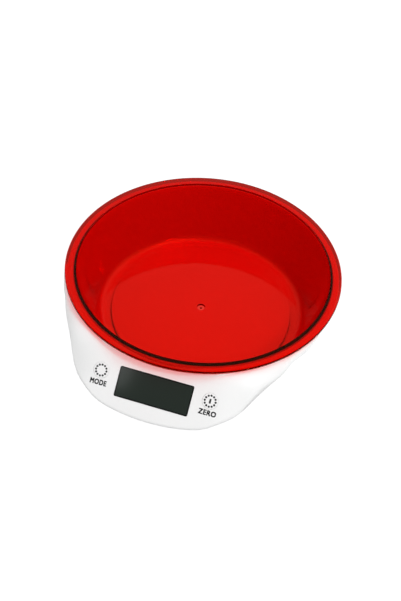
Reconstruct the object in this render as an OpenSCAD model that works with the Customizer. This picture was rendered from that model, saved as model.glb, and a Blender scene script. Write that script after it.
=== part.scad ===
// Kitchen scale with a nested mixing bowl.
// Millimetres, +Z up. The table is z = 0, the front of the scale faces -Y, and the origin is
// the middle of the outline on the table. Most modules work about the bowl's own upright axis
// and are moved back by axis_y at the end.

/* [Bowl] */
// Outer radius of the bowl's rim
rim_r = 96; // [92:0.5:100]
// Width of the flat rim, from its outer edge to the bowl's mouth
rim_w = 6.5; // [5:0.5:8]
// Thickness of the rim
rim_t = 2.5; // [2:0.1:3]
// Depth of the bowl inside, from the rim's top to its floor
bowl_depth = 42; // [40:0.5:44]
// Spread of the bowl's wall, from the floor's corner out to the mouth
bowl_flare = 16.5; // [15:0.5:18.5]
// Thickness of the bowl's wall and floor
bowl_wall = 1.8; // [1.5:0.1:2.2]
// Radius of the corner between the floor and the wall
bowl_fillet = 5; // [3:0.5:7]
// Radius of the moulding gate's dimple in the middle of the floor
gate_r = 3; // [2:0.1:4]

/* [Body] */
// Wall of the housings
wall = 1.8; // [1.6:0.1:2]
// Free space between the bowl and the well that it sits in
bowl_gap = 1; // [0.8:0.1:1.3]
// Free space between the rim's underside and the well's collar
collar_gap = 1.1; // [0.9:0.1:1.5]
// Width of the collar round the top of the well
collar_w = 4.2; // [3.5:0.1:5]
// Hairline between the upper and the lower housing
parting_gap = 0.15; // [0.1:0.05:0.3]
// Depth of the well's floor below the bowl's underside
well_drop = 3; // [2.6:0.1:3.6]
// Ledge of the well's floor, from the bowl's floor corner in to the round opening
well_ledge = 8; // [7:0.1:8.5]

/* [Nose] */
// Reach of the front lip past the bowl's rim
lip_past = 20.5; // [19.5:0.5:23]
// Height of the sharp lip line above the table, before it is rounded
lip_height = 31.5; // [30.5:0.5:33]
// Slope of the display panel
panel_tilt = 45; // [44:0.5:46]
// Radius of the lip's front curve, seen from above
nose_r = 184; // [150:2:220]
// Radius of the corners between the lip and the sides, seen from above
nose_corner_r = 43; // [38:1:46]
// Distance that the nose's straight sides stand past the bowl's rim
side_past = 3.5; // [2.5:0.5:4.5]
// Direction of the sides' outward normal, in degrees from straight ahead
side_angle = 59; // [57:0.5:61]
// Depth by which the shoulders beside the panel roll down
shoulder_drop = 6.8; // [5:0.2:8]
// Rounding of the lip
lip_round = 2; // [1.5:0.1:2.5]
// Rounding of the shoulders
shoulder_round = 3.5; // [2.5:0.1:4.5]

/* [Base] */
// Step from the bowl's floor corner in to the edge of the round base
base_step = 3; // [1:0.5:4]
// Depth by which the base stays behind the lip
base_behind = 28.5; // [24.5:0.5:30.5]
// Height of the rubber feet
foot_h = 2; // [1.5:0.1:2.5]
// Radius of the rubber feet
foot_r = 6; // [5:0.5:7]
// Thickness of the base plate
base_t = 2; // [1.8:0.1:2.4]

/* [Panel] */
// Width of the display window
window_w = 50; // [46:0.5:52]
// Height of the display window, along the slope
window_h = 20; // [18:0.5:21]
// Thickness of the display window
window_t = 1.2; // [1:0.1:1.4]
// Distance along the slope from the lip line to the window's middle
window_up = 21.2; // [20.5:0.1:22]
// Distance of each button from the middle line
button_x = 37; // [36:0.5:38.5]
// Distance of the buttons above the window's middle, along the slope
button_up = 3.7; // [3:0.1:4.5]
// Radius of a button
button_r = 5.2; // [4.8:0.1:5.6]
// Hairline between a button and its hole
button_gap = 0.1; // [0.1:0.05:0.25]
// Travel of a button
button_travel = 0.4; // [0.3:0.05:0.5]

/* [Weighing] */
// Length of the load cell
cell_l = 80; // [76:1:84]
// Width and height of the load cell
cell_s = 12.7; // [12:0.1:13]
// Height of the pad that lifts the load cell off the base's floor
cell_lift = 1.3; // [1.1:0.1:1.6]
// Height of the pad between the load cell and the spider's plate
spider_lift = 1.2; // [1.1:0.1:1.6]
// Thickness of the spider's plate
spider_t = 1.5; // [1.2:0.1:1.8]
// Thickness of the platform
cover_t = 1.5; // [1.3:0.1:1.8]
// Free space round the white platform, inside the well's opening
platform_gap = 1.3; // [1:0.1:3]
// Travel of the platform at full load
platform_travel = 0.8; // [0.4:0.1:0.9]
// Radius of the load cell's bolts
cell_bolt_r = 2; // [1.5:0.1:2.2]

/* [Battery bay] */
// Radius of a battery cell
battery_r = 5.25; // [5:0.05:5.3]
// Length of a battery cell's can
battery_l = 43.5; // [43:0.1:44]
// Thickness of the battery door
door_t = 1.4; // [1.2:0.1:1.6]
// Hairline round the battery door
door_gap = 0.3; // [0.2:0.05:0.4]

/* [Hidden] */
$fn = 96;

// Small overlap that joins solids of one piece
bite = 0.2;
// Clearance of a screw or peg in its hole
screw_fit = 0.05;

// Heights of the stack, from the table up: feet, base, load cell, spider, platform, bowl
floor_z = foot_h + base_t;
cell_z = floor_z + cell_lift;
cell_top_z = cell_z + cell_s;
spider_z = cell_top_z + spider_lift;
cover_z = spider_z + spider_t;
bowl_under_z = cover_z + cover_t;
bowl_floor_z = bowl_under_z + bowl_wall;
height = bowl_floor_z + bowl_depth;
rim_under_z = height - rim_t;
collar_z = rim_under_z - collar_gap;
well_floor_z = bowl_under_z - well_drop;
well_under_z = well_floor_z - 1.6;

// Reaches of the nose from the bowl's axis
lip_reach = rim_r + lip_past;
side_r = rim_r + side_past;

// Radii under the bowl, worked inwards from the corner of its floor
well_opening_r = rim_r - rim_w - bowl_flare - well_ledge;
platform_r = well_opening_r - platform_gap;
base_r = rim_r - rim_w - bowl_flare - base_step;
base_nose = lip_reach - base_behind;

// The bowl's wall is a cone; draft is its lean
mouth_r = rim_r - rim_w;
bowl_floor_r = mouth_r - bowl_flare;
wall_top_r = mouth_r - 1.7;
draft = (wall_top_r - bowl_floor_r) / (bowl_depth - rim_t);
lean = sqrt(1 + draft * draft);
function bowl_in(z) = bowl_floor_r + (z - bowl_floor_z) * draft;
function bowl_out(z) = bowl_in(z) + bowl_wall * lean;
function well_in(z) = bowl_out(z) + bowl_gap;
function well_out(z) = well_in(z) + wall * lean;
collar_in_r = well_in(collar_z);
collar_r = collar_in_r + collar_w;

// Blends used by the housing's outline
function clamp(t) = min(max(t, 0), 1);
function ease(t) = let (u = clamp(t)) u * u * (3 - 2 * u);
function soft_min(a, b, k) = let (h = max(k - abs(a - b), 0) / k) min(a, b) - h * h * k / 4;
function unit(v) = v / norm(v);

// Outline of the nose from above: a front arc, a corner arc and a straight side that is
// tangent to a circle about the bowl. Angles are degrees from straight ahead.
nose_cy = nose_r - lip_reach;
side_n = [sin(side_angle), -cos(side_angle)];
side_t = [cos(side_angle), sin(side_angle)];
corner_u = side_r - nose_corner_r - side_n[1] * nose_cy;
corner_w = sqrt(pow(nose_r - nose_corner_r, 2) - corner_u * corner_u);
corner_c = [0, nose_cy] + side_n * corner_u - side_t * corner_w;
front_end = [0, nose_cy] + nose_r * unit(corner_c - [0, nose_cy]);
side_start = corner_c + nose_corner_r * side_n;
front_end_a = atan2(front_end[0], -front_end[1]);
side_start_a = atan2(side_start[0], -side_start[1]);
skin_end_a = 79;
function from_arc(c, r, a) = let (b = sin(a) * c[0] - cos(a) * c[1]) b + sqrt(b * b - c * c + r * r);
function outline_r(a) =
    a < front_end_a ? from_arc([0, nose_cy], nose_r, a) :
    a < side_start_a ? from_arc(corner_c, nose_corner_r, a) :
    a < side_angle ? side_r / cos(a - side_angle) :
    collar_r - bite + (side_r - collar_r + bite) * (1 - ease((a - side_angle) / (skin_end_a - side_angle)));

// Top surface of the housing: the sloping panel, the level of the collar and the shoulders
// that roll down on either side of the panel
skin_level = collar_z - bite;
panel_start_r = mouth_r + 0.5;
shoulder_from = 22;
shoulder_full = 32;
shoulder_fade = 47;
shoulder_gone = 56;
crease_blend = 6;
function drop(a) = shoulder_drop * ease((a - shoulder_from) / (shoulder_full - shoulder_from))
    * (1 - ease((a - shoulder_fade) / (shoulder_gone - shoulder_fade)));
function panel_z(r, a) = lip_height + (lip_reach - r * cos(a)) * tan(panel_tilt);
function top_z(r, a) = soft_min(panel_z(r, a), skin_level, crease_blend)
    - drop(a) * pow(clamp((r - panel_start_r) / (outline_r(a) - panel_start_r)), 2);
collar_round = 1.2;
function rounding(a) = a < 45 ? lip_round + (shoulder_round - lip_round) * ease((a - 18) / 14)
    : shoulder_round + (collar_round - shoulder_round) * ease((a - 62) / 8);

// Foot of the hull under the nose
hull_bottom_z = foot_h + 0.6;
base_nose_a = 62;
base_round_a = 26;
function base_edge(a) = base_r
    + (base_nose - base_r) * ease((base_nose_a - abs(a)) / (base_nose_a - base_round_a));

// One upright cut through the edge of the housing at angle a: q is the sharp corner, and
// the rest is the arc that rounds it between the top surface and the hull
function cut(a) =
    let (
        r = outline_r(a),
        q = [r, top_z(r, a)],
        up = unit([r - 6, top_z(r - 6, a)] - q),
        down = unit([base_edge(a), hull_bottom_z] - q),
        half = acos(up * down) / 2,
        round_r = rounding(a)
    )
    [q, q + unit(up + down) * round_r / sin(half), round_r, up, down, round_r / tan(half)];
function edge(a) = let (c = cut(a)) [c[1][0] + c[2], c[1][1]];
function lip_tip_r() = edge(0)[0];

// The outline on the table runs from the lip to the rim's back, so the bowl stands behind
// its middle by axis_y
axis_y = (lip_tip_r() - rim_r) / 2;

// Level thickness of the hull's wall at angle a
function hull_wall(a) = let (c = cut(a)) wall / abs(c[4][1]);

// Chains of [radius, height] points on the outer and inner side of the upper skin
top_steps = 8;
round_steps = 4;
function skin_start(a) = well_in(top_z(panel_start_r, a)) + 0.5;
function skin_outer(a) =
    let (
        c = cut(a),
        r0 = skin_start(a),
        r1 = c[0][0] + c[3][0] * c[5],
        a0 = atan2(c[3][0] < 0 ? -c[3][0] : 0, c[3][1])
    )
    [
        for (i = [0:top_steps]) let (r = r0 + (r1 - r0) * i / top_steps)
            [r, i == top_steps ? c[0][1] + c[3][1] * c[5] : top_z(r, a)],
        for (i = [1:round_steps]) let (t = (90 - atan2(c[3][1], -c[3][0])) * (1 - i / round_steps))
            c[1] + c[2] * [cos(t), sin(t)]
    ];
function skin_inner(a) =
    let (
        c = cut(a),
        e = edge(a),
        r0 = skin_start(a),
        r1 = e[0] - hull_wall(a),
        slope = (top_z(r0, a) - c[0][1]) / (c[0][0] - r0),
        thick = wall * sqrt(1 + slope * slope),
        z1 = max(top_z(r1, a) - thick, e[1] + 0.1)
    )
    [
        for (i = [0:top_steps]) let (r = r0 + (r1 - r0) * i / top_steps)
            [r, max(top_z(r, a) - thick, e[1] + 0.1)],
        for (i = [1:round_steps]) [r1, z1 + (e[1] - z1) * i / round_steps]
    ];

// Chains of the lower hull, from the parting line down to the base. Past hull_merge_a the
// hull draws in until it meets the outside of the well.
hull_steps = 6;
hull_end_a = 66;
hull_merge_a = 52;
function merge(a) = 1 - 1.2 * clamp((a - hull_merge_a) / (hull_end_a - hull_merge_a));
function hull_r(r, z, a) = let (w = well_out(z)) a <= hull_merge_a ? r : w + merge(a) * (r - w);
function hull_outer(a) =
    let (
        c = cut(a),
        e = edge(a),
        t1 = -atan2(-c[4][0], -c[4][1]),
        p0 = c[1] + c[2] * [cos(t1), sin(t1)],
        p1 = [base_edge(a), hull_bottom_z]
    )
    [
        [e[0], e[1] - parting_gap],
        let (p = c[1] + c[2] * [cos(t1 / 2), sin(t1 / 2)] - [0, parting_gap]) [hull_r(p[0], p[1], a), p[1]],
        for (i = [0:hull_steps]) let (p = p0 + (p1 - p0) * i / hull_steps - [0, parting_gap * (1 - i / hull_steps)])
            [hull_r(p[0], p[1], a), p[1]]
    ];
function hull_inner(a) = let (w = hull_wall(a)) [for (p = hull_outer(a)) p - [w, 0]];

// A shell between an outer and an inner grid of points, closed along all four edges
module shell(outer, inner) {
    rows = len(outer);
    cols = len(outer[0]);
    offset_in = rows * cols;
    points = [for (row = outer) each row, for (row = inner) each row];
    function at(i, j) = i * cols + j;
    faces = [
        for (i = [0:rows - 2]) for (j = [0:cols - 2]) each [
            [at(i, j), at(i + 1, j), at(i, j + 1)],
            [at(i + 1, j), at(i + 1, j + 1), at(i, j + 1)],
            [offset_in + at(i, j), offset_in + at(i, j + 1), offset_in + at(i + 1, j)],
            [offset_in + at(i + 1, j), offset_in + at(i, j + 1), offset_in + at(i + 1, j + 1)]
        ],
        for (i = [0:rows - 2]) each [
            [at(i, 0), offset_in + at(i, 0), at(i + 1, 0)],
            [at(i + 1, 0), offset_in + at(i, 0), offset_in + at(i + 1, 0)],
            [at(i, cols - 1), at(i + 1, cols - 1), offset_in + at(i, cols - 1)],
            [at(i + 1, cols - 1), offset_in + at(i + 1, cols - 1), offset_in + at(i, cols - 1)]
        ],
        for (j = [0:cols - 2]) each [
            [at(0, j), at(0, j + 1), offset_in + at(0, j)],
            [at(0, j + 1), offset_in + at(0, j + 1), offset_in + at(0, j)],
            [at(rows - 1, j), offset_in + at(rows - 1, j), at(rows - 1, j + 1)],
            [at(rows - 1, j + 1), offset_in + at(rows - 1, j), offset_in + at(rows - 1, j + 1)]
        ]
    ];
    polyhedron(points, faces, convexity = 8);
}
function placed(chain, a) = [for (p = chain) [p[0] * sin(a), -p[0] * cos(a), p[1]]];

skin_sections = 56;
skin_angles = [for (i = [0:skin_sections]) skin_end_a * (2 * i / skin_sections - 1)];
hull_angles = [for (a = skin_angles) if (abs(a) <= hull_end_a) a];

module upper_skin() {
    shell([for (a = skin_angles) placed(skin_outer(abs(a)), a)], [for (a = skin_angles) placed(skin_inner(abs(a)), a)]);
}

module hull_skin() {
    shell([for (a = hull_angles) placed(hull_outer(abs(a)), a)], [for (a = hull_angles) placed(hull_inner(abs(a)), a)]);
}

// Places children on the sloping panel: z = 0 is its face, +Z points out of it and +Y runs
// up the slope from the window's middle
module on_panel() {
    translate([0, -lip_reach + window_up * cos(panel_tilt), lip_height + window_up * sin(panel_tilt)])
        rotate([panel_tilt, 0, 0]) children();
}

module at_axis() {
    translate([0, axis_y, 0]) children();
}

// Rectangle with round corners, drawn about its middle
module round_rect(w, h, r) {
    square([w - 2 * r, h], center = true);
    square([w, h - 2 * r], center = true);
    for (x = [-1, 1], y = [-1, 1])
        translate([x * (w / 2 - r), y * (h / 2 - r)]) circle(r);
}

// Points of an arc about c
function arc(c, r, a0, a1, n) = [for (i = [0:n]) let (a = a0 + (a1 - a0) * i / n) c + r * [cos(a), sin(a)]];

// Upright angle of the bowl's wall above the level
wall_a = atan2(1, draft);
// The inside corner of a cone wall on a floor at z0, with corner radius r: its arc runs
// from the floor up to the wall
function corner_arc(wall_r, z0, r, n) =
    let (c = [wall_r - r * tan(wall_a / 2), z0 + r]) arc(c, r, -90, wall_a - 90, n);

module bowl_solid() {
    under_r = bowl_out(bowl_under_z);
    rim_edge = 0.9;
    nub_r = 0.9;
    rotate_extrude() polygon([
        [0, bowl_under_z],
        each corner_arc(under_r, bowl_under_z, bowl_fillet + bowl_wall, 6),
        [bowl_out(rim_under_z), rim_under_z],
        each arc([rim_r - rim_edge, rim_under_z + rim_edge], rim_edge, -90, 0, 3),
        each arc([rim_r - rim_edge, height - rim_edge], rim_edge, 0, 90, 3),
        [mouth_r, height],
        [mouth_r - 0.6, height - 0.5],
        [bowl_in(height - 2.2), height - 2.2],
        each [for (i = [6:-1:0]) corner_arc(bowl_floor_r, bowl_floor_z, bowl_fillet, 6)[i]],
        [gate_r, bowl_floor_z],
        [gate_r - 0.8, bowl_floor_z - 0.7],
        [nub_r, bowl_floor_z - 0.7],
        [nub_r - 0.3, bowl_floor_z - 0.3],
        [0, bowl_floor_z - 0.3]
    ]);
}

// Round wall of the well, with its floor and its collar; grow fattens it and fills it in
module well_profile(grow = 0) {
    r_in = bowl_fillet + bowl_wall + bowl_gap;
    flare_z = collar_z - 6;
    outer = [
        [grow > 0 ? 0 : well_opening_r, well_under_z - grow],
        each corner_arc(well_out(well_under_z) + grow, well_under_z - grow, r_in + wall, 6),
        [well_out(flare_z) + grow, flare_z - grow],
        each arc([collar_r - collar_round, collar_z - 2.2], collar_round + grow, -70, 0, 3),
        each arc([collar_r - collar_round, collar_z - collar_round], collar_round + grow, 0, 90, 3)
    ];
    inner = grow > 0 ? [[0, collar_z + grow]] : [
        [collar_in_r, collar_z],
        each [for (i = [6:-1:0]) corner_arc(well_in(well_floor_z), well_floor_z, r_in, 6)[i]],
        [well_opening_r, well_floor_z]
    ];
    polygon(concat(outer, inner));
}

// Screws that join the housings: their bosses hang below the well's floor
boss_r = 3;
screw_r = 1.45;
screw_head_r = 2.8;
screw_angles = [27, 90, 145];
screw_ring_r = well_opening_r + 0.2;
boss_z = floor_z + 4;
screw_grip = 5;
gusset_t = 1.2;
gusset_l = 5.2;
gusset_h = 6;
module at_screws() {
    for (a = screw_angles, s = [-1, 1]) rotate(s * a) translate([0, -screw_ring_r, 0]) children();
}

// The display stands on a board behind the panel
board_depth = 8.5;
board_t = 1.6;
pad_t = 2.6;
lens_step = 1.5;
board_x = 41;
board_low = 7;
board_high = 9.2;
tab_x = 27;
tab_low = 15.6;
board_screw_at = [[-31, -4.6], [31, -4.6], [0, -13.5]];
board_screw_r = 0.95;
board_boss_r = 1.9;
button_flange = 1;
panel_rib_past = 3;
panel_rib_low = -6;
panel_rib_l = 16;
panel_rib_h = 6;
rib_t = 1.2;

module upper_housing() {
    color("white") at_axis() difference() {
        union() {
            difference() {
                rotate_extrude() well_profile();
                translate([0, 0, lip_height + lip_reach * tan(panel_tilt) - bite]) rotate([panel_tilt, 0, 0])
                    translate([-200, -300, 0]) cube([400, 260, 200]);
            }
            upper_skin();
            on_panel() {
                translate([0, 0, -pad_t]) linear_extrude(pad_t - wall / 2)
                    round_rect(window_w + 5, window_h + 4.6, 1);
                for (p = board_screw_at) translate([p[0], p[1], -board_depth])
                    cylinder(r = board_boss_r, h = board_depth - wall / 2);
                for (s = [-1, 1]) translate([s * (board_x + panel_rib_past) - rib_t / 2, panel_rib_low, -panel_rib_h])
                    cube([rib_t, panel_rib_l, panel_rib_h - wall / 2]);
            }
            at_screws() {
                translate([0, 0, boss_z]) cylinder(r = boss_r, h = well_floor_z - 1 - boss_z);
                translate([-gusset_t / 2, -gusset_l, well_under_z + bite - gusset_h])
                    cube([gusset_t, gusset_l, gusset_h]);
            }
        }
        on_panel() {
            translate([0, 0, -window_t]) linear_extrude(10) round_rect(window_w + 0.2, window_h + 0.2, 1.1);
            translate([0, 0, -10]) linear_extrude(20)
                round_rect(window_w - 2 * lens_step, window_h - 2 * lens_step, 0.6);
            for (s = [-1, 1]) translate([s * button_x, button_up, -10]) cylinder(r = button_r + button_gap, h = 20);
            for (p = board_screw_at) translate([p[0], p[1], -board_depth - 1])
                cylinder(r = board_screw_r + screw_fit, h = board_depth - wall);
        }
        at_screws() translate([0, 0, boss_z - 1]) cylinder(r = screw_r + screw_fit, h = screw_grip + 2);
    }
}

// Feet, door and cells of the base
foot_inset = 12;
foot_out = (base_r - foot_inset) / sqrt(2);
foot_at = [for (x = [-1, 1], y = [-1, 1]) foot_out * [x, y]];
foot_sunk = 0.6;
bay_y = 36;
bay_in_x = 25;
bay_in_y = 11.2;
bay_wall = 1.4;
rib_h = 6;
rib_reach = 1.5;
bay_top_z = 13;
battery_pitch = 11;
battery_z = floor_z + 0.4 + battery_r;
nub_l = 1;
battery_shift = 1.2;
door_w = 54;
door_d = 27;
knuckle_r = 1;
hinge_y = bay_y - door_d / 2 + knuckle_r;
hinge_z = foot_h + knuckle_r;
pin_r = 0.6;
pin_fit = 0.05;
pin_l = 1.6;
latch_w = 9;
latch_d = 2.6;
scoop_r = 5;
scoop_past = 1;
scoop_depth = 1;

// Load cell: its fixed end is on the left, and its free end carries the platform
cell_end_l = 20;
cell_bolt_x = [cell_l / 2 - 5, cell_l / 2 - 15];
bolt_fit = 0.05;
bolt_head_r = 3.6;
bolt_head_h = 1.3;
spider_bar = [72, 22];
spider_arm = [2 * (platform_r - 11.7), 11];
spider_corner_r = 4;
spider_hole_at = 34;
peg_r = 1.5;
peg_fit = 0.1;
gauge_size = [26, 9.2, 0.5];
// Posts that stop the platform's arms when it is overloaded
stop_at = spider_arm[0] / 2 - 5;
stop_r = 2.5;
stop_gap = 0.2;
stop_z = spider_z - platform_travel - stop_gap;
spring_r0 = 2;
spring_r1 = 3.6;

// The dish carries the line of the well's wall down to the base at the sides and the back
dish_top_z = well_under_z + 2;
dish_from_a = 58;
function dish_out(z) = well_out(z);
module dish_profile() {
    polygon([
        [dish_out(hull_bottom_z), hull_bottom_z],
        [dish_out(dish_top_z), dish_top_z],
        [dish_out(dish_top_z) - wall * lean, dish_top_z],
        [dish_out(hull_bottom_z) - wall * lean, hull_bottom_z]
    ]);
}

function base_at(a) = max(hull_r(base_edge(a), hull_bottom_z, abs(a)), dish_out(hull_bottom_z));
module base_outline(inset) {
    polygon([
        for (i = [0:44]) let (a = hull_end_a * (i / 22 - 1), r = base_at(a) - inset) [r * sin(a), -r * cos(a)],
        for (i = [1:71]) let (
            a = hull_end_a + (360 - 2 * hull_end_a) * i / 72,
            r = dish_out(hull_bottom_z) - inset
        ) [r * sin(a), -r * cos(a)]
    ]);
}

module lower_housing() {
    color("white") at_axis() difference() {
        union() {
            hull_skin();
            rotate([0, 0, dish_from_a - 90]) rotate_extrude(angle = 360 - 2 * dish_from_a) dish_profile();
            translate([0, 0, foot_h]) linear_extrude(base_t) base_outline(0.5);
            at_screws() translate([0, 0, floor_z - bite]) cylinder(r = 4.4, h = boss_z - floor_z + bite - 0.2);
            translate([-cell_l / 2, -cell_s / 2, floor_z - bite])
                cube([cell_end_l, cell_s, cell_z - floor_z + bite]);
            translate([-bay_in_x - bay_wall, bay_y - bay_in_y - bay_wall, floor_z - bite])
                cube([2 * (bay_in_x + bay_wall), 2 * (bay_in_y + bay_wall), bay_top_z - floor_z + bite]);
            for (s = [-1, 1]) translate([s * (door_w / 2 + 1.8) - 2.2, hinge_y - 2, floor_z - bite])
                cube([4.4, 4, 0.8 + bite]);
            for (a = [45:90:315]) rotate(a) translate([stop_at, 0, floor_z - bite]) {
                cylinder(r = stop_r, h = stop_z - floor_z + bite);
                for (q = [0, 90]) rotate(q) translate([-stop_r - rib_reach, -rib_t / 2, 0])
                    cube([2 * (stop_r + rib_reach), rib_t, rib_h + bite]);
            }
        }
        rotate_extrude() well_profile(grow = parting_gap);
        translate([-bay_in_x, bay_y - bay_in_y, 0]) cube([2 * bay_in_x, 2 * bay_in_y, 30]);
        translate([-door_w / 2 - door_gap, bay_y - door_d / 2 - door_gap, 0])
            cube([door_w + 2 * door_gap, door_d + 2 * door_gap, foot_h + door_t + 0.05]);
        translate([-door_w / 2 - door_gap, hinge_y - knuckle_r - door_gap, 0])
            cube([door_w + 2 * door_gap, 2 * knuckle_r + door_gap, floor_z + 1]);
        translate([-latch_w / 2 - door_gap, bay_y + door_d / 2, 0])
            cube([latch_w + 2 * door_gap, latch_d + door_gap, foot_h + door_t + 0.05]);
        translate([0, bay_y + door_d / 2 + latch_d + scoop_past, 0]) cylinder(r = scoop_r, h = foot_h + scoop_depth);
        translate([0, hinge_y, hinge_z]) rotate([0, 90, 0])
            cylinder(r = pin_r + pin_fit, h = door_w + 2 * (pin_l + door_gap), center = true);
        for (p = foot_at) translate([p[0], p[1], 0]) cylinder(r = foot_r + screw_fit, h = foot_h + foot_sunk);
        at_screws() {
            cylinder(r = screw_head_r + 0.2, h = floor_z + 0.6);
            cylinder(r = screw_r + 0.2, h = 20);
        }
        for (x = cell_bolt_x) translate([-x, 0, 0]) {
            cylinder(r = bolt_head_r + 0.2, h = foot_h + bolt_head_h);
            cylinder(r = cell_bolt_r + bolt_fit, h = 20);
        }
    }
}

module bowl() {
    color([0.8, 0.05, 0.02, 0.6]) at_axis() bowl_solid();
}

// White disc that the bowl stands on, with a skirt round its edge and pegs in the spider
skirt_w = 1.6;
skirt_h = 1.1;
ring_rib_past = 2;
cross_rib_x = 4;
cross_rib_from = spider_bar[1] / 2 + 3;
cross_rib_l = spider_arm[0] / 2 + ring_rib_past - cross_rib_from;
module platform_cover() {
    color("white") at_axis() {
        rotate_extrude() polygon([
            [0, cover_z],
            [platform_r - skirt_w, cover_z],
            [platform_r - skirt_w, cover_z - skirt_h],
            [platform_r, cover_z - skirt_h],
            [platform_r, bowl_under_z - 0.6],
            [platform_r - 0.6, bowl_under_z],
            [0, bowl_under_z]
        ]);
        for (a = [45:90:315]) rotate(a) translate([spider_hole_at, 0, spider_z]) cylinder(r = peg_r, h = spider_t + bite);
        rotate_extrude() translate([spider_arm[0] / 2 + ring_rib_past, cover_z - skirt_h])
            square([rib_t, skirt_h + bite]);
        for (s = [-1, 1], x = [-cross_rib_x, cross_rib_x])
            translate([x - rib_t / 2, s * cross_rib_from - (s < 0 ? cross_rib_l : 0), cover_z - skirt_h])
                cube([rib_t, cross_rib_l, skirt_h + bite]);
    }
}

// Metal spider between the load cell's free end and the platform: a hub plate and four arms
module load_spider() {
    color("silver") at_axis() difference() {
        union() {
            translate([0, 0, spider_z]) linear_extrude(spider_t) {
                translate([4, 0]) round_rect(spider_bar[0], spider_bar[1], spider_corner_r);
                for (a = [45, 135]) rotate(a) round_rect(spider_arm[0], spider_arm[1], spider_corner_r);
            }
            translate([cell_l / 2 - cell_end_l, -cell_s / 2, cell_top_z])
                cube([cell_end_l, cell_s, spider_z - cell_top_z + bite]);
        }
        for (x = cell_bolt_x) translate([x, 0, 0]) {
            cylinder(r = cell_bolt_r + bolt_fit, h = 30);
            translate([0, 0, cover_z - bolt_head_h]) cylinder(r = bolt_head_r + 0.2, h = 10);
        }
        for (a = [45:90:315]) rotate(a) translate([spider_hole_at, 0, 0]) cylinder(r = peg_r + peg_fit, h = 30);
    }
}

// Flat-headed bolts that fix the spider on the free end, seen from above as discs
module spider_screws() {
    color("gray") at_axis() for (x = cell_bolt_x) translate([x, 0, 0]) {
        translate([0, 0, cover_z - bolt_head_h]) cylinder(r = bolt_head_r, h = bolt_head_h - 0.2);
        translate([0, 0, cell_z + 3]) cylinder(r = cell_bolt_r, h = cover_z - bolt_head_h - cell_z - 2.8);
    }
}

// Aluminium beam with two overlapping holes through its waist, where it bends
module load_cell() {
    color("silver") at_axis() difference() {
        translate([-cell_l / 2, -cell_s / 2, cell_z]) cube([cell_l, cell_s, cell_s]);
        for (x = [-7, 7]) translate([x, 0, cell_z + cell_s / 2]) rotate([90, 0, 0])
            cylinder(r = 5.2, h = 20, center = true);
        translate([-7, -10, cell_z + cell_s / 2 - 2]) cube([14, 20, 4]);
        for (x = cell_bolt_x, s = [-1, 1]) translate([s * x, 0, 0]) cylinder(r = cell_bolt_r + bolt_fit, h = 30);
    }
}

// White sealant over the strain gauges, on the top and the bottom of the waist
module gauge_coating() {
    color("whitesmoke") at_axis() {
        for (z = [cell_z - gauge_size[2], cell_top_z])
            translate([-gauge_size[0] / 2, -gauge_size[1] / 2, z]) cube(gauge_size);
    }
}

module cell_bolts() {
    color("gray") at_axis() for (x = cell_bolt_x) translate([-x, 0, 0]) {
        translate([0, 0, foot_h + 0.1]) cylinder(r = bolt_head_r, h = bolt_head_h - 0.1);
        translate([0, 0, foot_h + bolt_head_h - bite]) cylinder(r = cell_bolt_r, h = cell_z + 9 - foot_h - bolt_head_h);
    }
}

module housing_screws() {
    color("gray") at_axis() at_screws() {
        translate([0, 0, foot_h + 0.6]) cylinder(r = screw_head_r, h = floor_z - foot_h);
        translate([0, 0, floor_z]) cylinder(r = screw_r, h = boss_z - floor_z + screw_grip);
    }
}

// Dark window flush with the panel
module display_window() {
    color([0.1, 0.13, 0.12]) at_axis() on_panel() translate([0, 0, -window_t + 0.02])
        linear_extrude(window_t - 0.02) round_rect(window_w, window_h, 1);
}

// The display glass behind the window stands between the panel's pad and the board
glass_x = 25;
glass_low = 9.6;
glass_high = 9.2;
glass_t = 2.6;
frame_wall = 1.2;
fit_gap = 0.1;
board_z = -board_depth;

module lcd_glass() {
    color([0.45, 0.5, 0.45]) at_axis() on_panel() translate([-glass_x, -glass_low, -pad_t - glass_t])
        cube([2 * glass_x, glass_low + glass_high, glass_t]);
}

module lcd_frame() {
    color("white") at_axis() on_panel() difference() {
        translate([-glass_x - fit_gap - frame_wall, -glass_low - fit_gap - frame_wall, board_z])
            cube([2 * (glass_x + fit_gap + frame_wall), glass_low + glass_high + 2 * (fit_gap + frame_wall),
                board_depth - pad_t]);
        translate([-glass_x - fit_gap, -glass_low - fit_gap, board_z - 1])
            cube([2 * (glass_x + fit_gap), glass_low + glass_high + 2 * fit_gap, board_depth]);
    }
}

// Rubber strips that carry the signals from the board up to the glass
module zebra_strips() {
    color("dimgray") at_axis() on_panel() for (y = [-glass_low + 0.3, glass_high - 2.3])
        translate([-glass_x + 1, y, board_z]) cube([2 * glass_x - 2, 2, board_depth - pad_t - glass_t]);
}

module main_board() {
    color("green") at_axis() on_panel() difference() {
        union() {
            translate([-board_x, -board_low, board_z - board_t]) cube([2 * board_x, board_low + board_high, board_t]);
            translate([-tab_x, -tab_low, board_z - board_t]) cube([2 * tab_x, tab_low, board_t]);
        }
        for (p = board_screw_at) translate([p[0], p[1], -20]) cylinder(r = board_screw_r + 0.15, h = 20);
    }
}

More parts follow.
